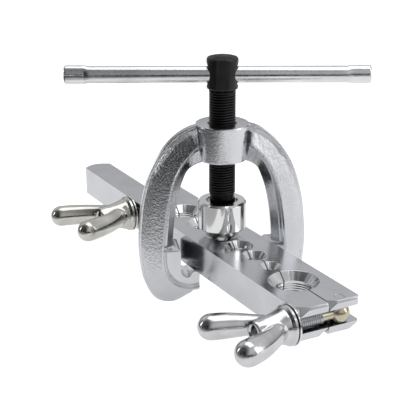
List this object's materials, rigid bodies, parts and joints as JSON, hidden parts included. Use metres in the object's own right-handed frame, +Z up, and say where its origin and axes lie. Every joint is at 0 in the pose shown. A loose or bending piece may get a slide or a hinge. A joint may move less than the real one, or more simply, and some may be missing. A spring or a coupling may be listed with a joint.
{
  "type": "flaring tool",
  "caption": "Split-bar flaring tool: a two-part die bar clamped by wing nuts, under a forged yoke with a screw-driven 45 degree cone and a sliding handle.",
  "frame": {"origin": "middle of the bottom of the bounding box, under the feet of the yoke", "axes": "+X along the die bar towards the swing bolt, -Y on the side of the wing nuts, +Z up along the feed screw"},
  "size_m": [0.244, 0.1284, 0.1224],
  "materials": {
    "bright_plating": "bright satin plating on ground steel",
    "forged_plating": "bright plating over a rough forged skin",
    "polished_chrome": "polished chrome",
    "nickel_plating": "polished warm nickel",
    "black_oxide": "oiled black oxide",
    "yellow_zinc": "pale yellow zinc plating",
    "bare_steel": "ground steel"
  },
  "bodies": {
    "die_block": {"rear_die_bar": "bright_plating", "dowel_pin_1": "bare_steel", "dowel_pin_2": "bare_steel", "clamp_stud": "yellow_zinc", "stud_pin": "bare_steel", "swing_bolt_pin": "bare_steel"},
    "front_half": {"front_die_bar": "bright_plating"},
    "swing_bolt": {"swing_bolt": "yellow_zinc"},
    "near_washer": {"near_washer": "polished_chrome"},
    "near_wing_nut": {"near_wing_nut": "polished_chrome"},
    "far_washer": {"far_washer": "polished_chrome"},
    "far_wing_nut": {"far_wing_nut": "nickel_plating"},
    "yoke": {"yoke": "forged_plating"},
    "cone": {"flaring_cone": "polished_chrome", "thrust_ball": "bare_steel", "retaining_ring": "bare_steel"},
    "feed_screw": {"feed_screw": "black_oxide"},
    "tommy_bar": {"tommy_bar": "polished_chrome"}
  },
  "joints": [
    {"name": "front_half_open", "type": "slide", "parent": "die_block", "child": "front_half", "axis": [0, -1, 0], "range_m": [0, 0.0006]},
    {"name": "swing_bolt_swing", "type": "hinge", "parent": "die_block", "child": "swing_bolt", "pos_m": [0.10082, 0.00963, 0.0258], "axis": [0, 0, 1], "range_deg": [0, 110]},
    {"name": "near_washer_travel", "type": "slide", "parent": "swing_bolt", "child": "near_washer", "axis": [0, -1, 0], "range_m": [0, 0.008]},
    {"name": "near_nut_turn", "type": "hinge", "parent": "near_washer", "child": "near_wing_nut", "pos_m": [0.10082, -0.01632, 0.0258], "axis": [0, -1, 0], "range_deg": [0, 2881]},
    {"name": "far_washer_travel", "type": "slide", "parent": "die_block", "child": "far_washer", "axis": [0, -1, 0], "range_m": [0, 0.008]},
    {"name": "far_nut_turn", "type": "hinge", "parent": "far_washer", "child": "far_wing_nut", "pos_m": [-0.05588, -0.01632, 0.0258], "axis": [0, -1, 0], "range_deg": [0, 2881]},
    {"name": "yoke_twist", "type": "hinge", "parent": "die_block", "child": "yoke", "pos_m": [0.01242, 0.00193, 0.0333], "axis": [0, 0, 1], "range_deg": [0, 41]},
    {"name": "cone_travel", "type": "slide", "parent": "yoke", "child": "cone", "axis": [0, 0, 1], "range_m": [0, 0.02]},
    {"name": "screw_turn", "type": "hinge", "parent": "cone", "child": "feed_screw", "pos_m": [0.01242, 0.00193, 0.0333], "axis": [0, 0, 1], "range_deg": [0, 5670.3]},
    {"name": "tommy_bar_slide", "type": "slide", "parent": "feed_screw", "child": "tommy_bar", "axis": [0.4787, 0.878, 0], "range_m": [-0.05, 0.054]}
  ],
  "couplings": [
    {"joint": "screw_turn", "follows": "cone_travel", "rad_per_m": 4947.4},
    {"joint": "near_nut_turn", "follows": "near_washer_travel", "rad_per_m": 6283.2},
    {"joint": "far_nut_turn", "follows": "far_washer_travel", "rad_per_m": 6283.2}
  ]
}
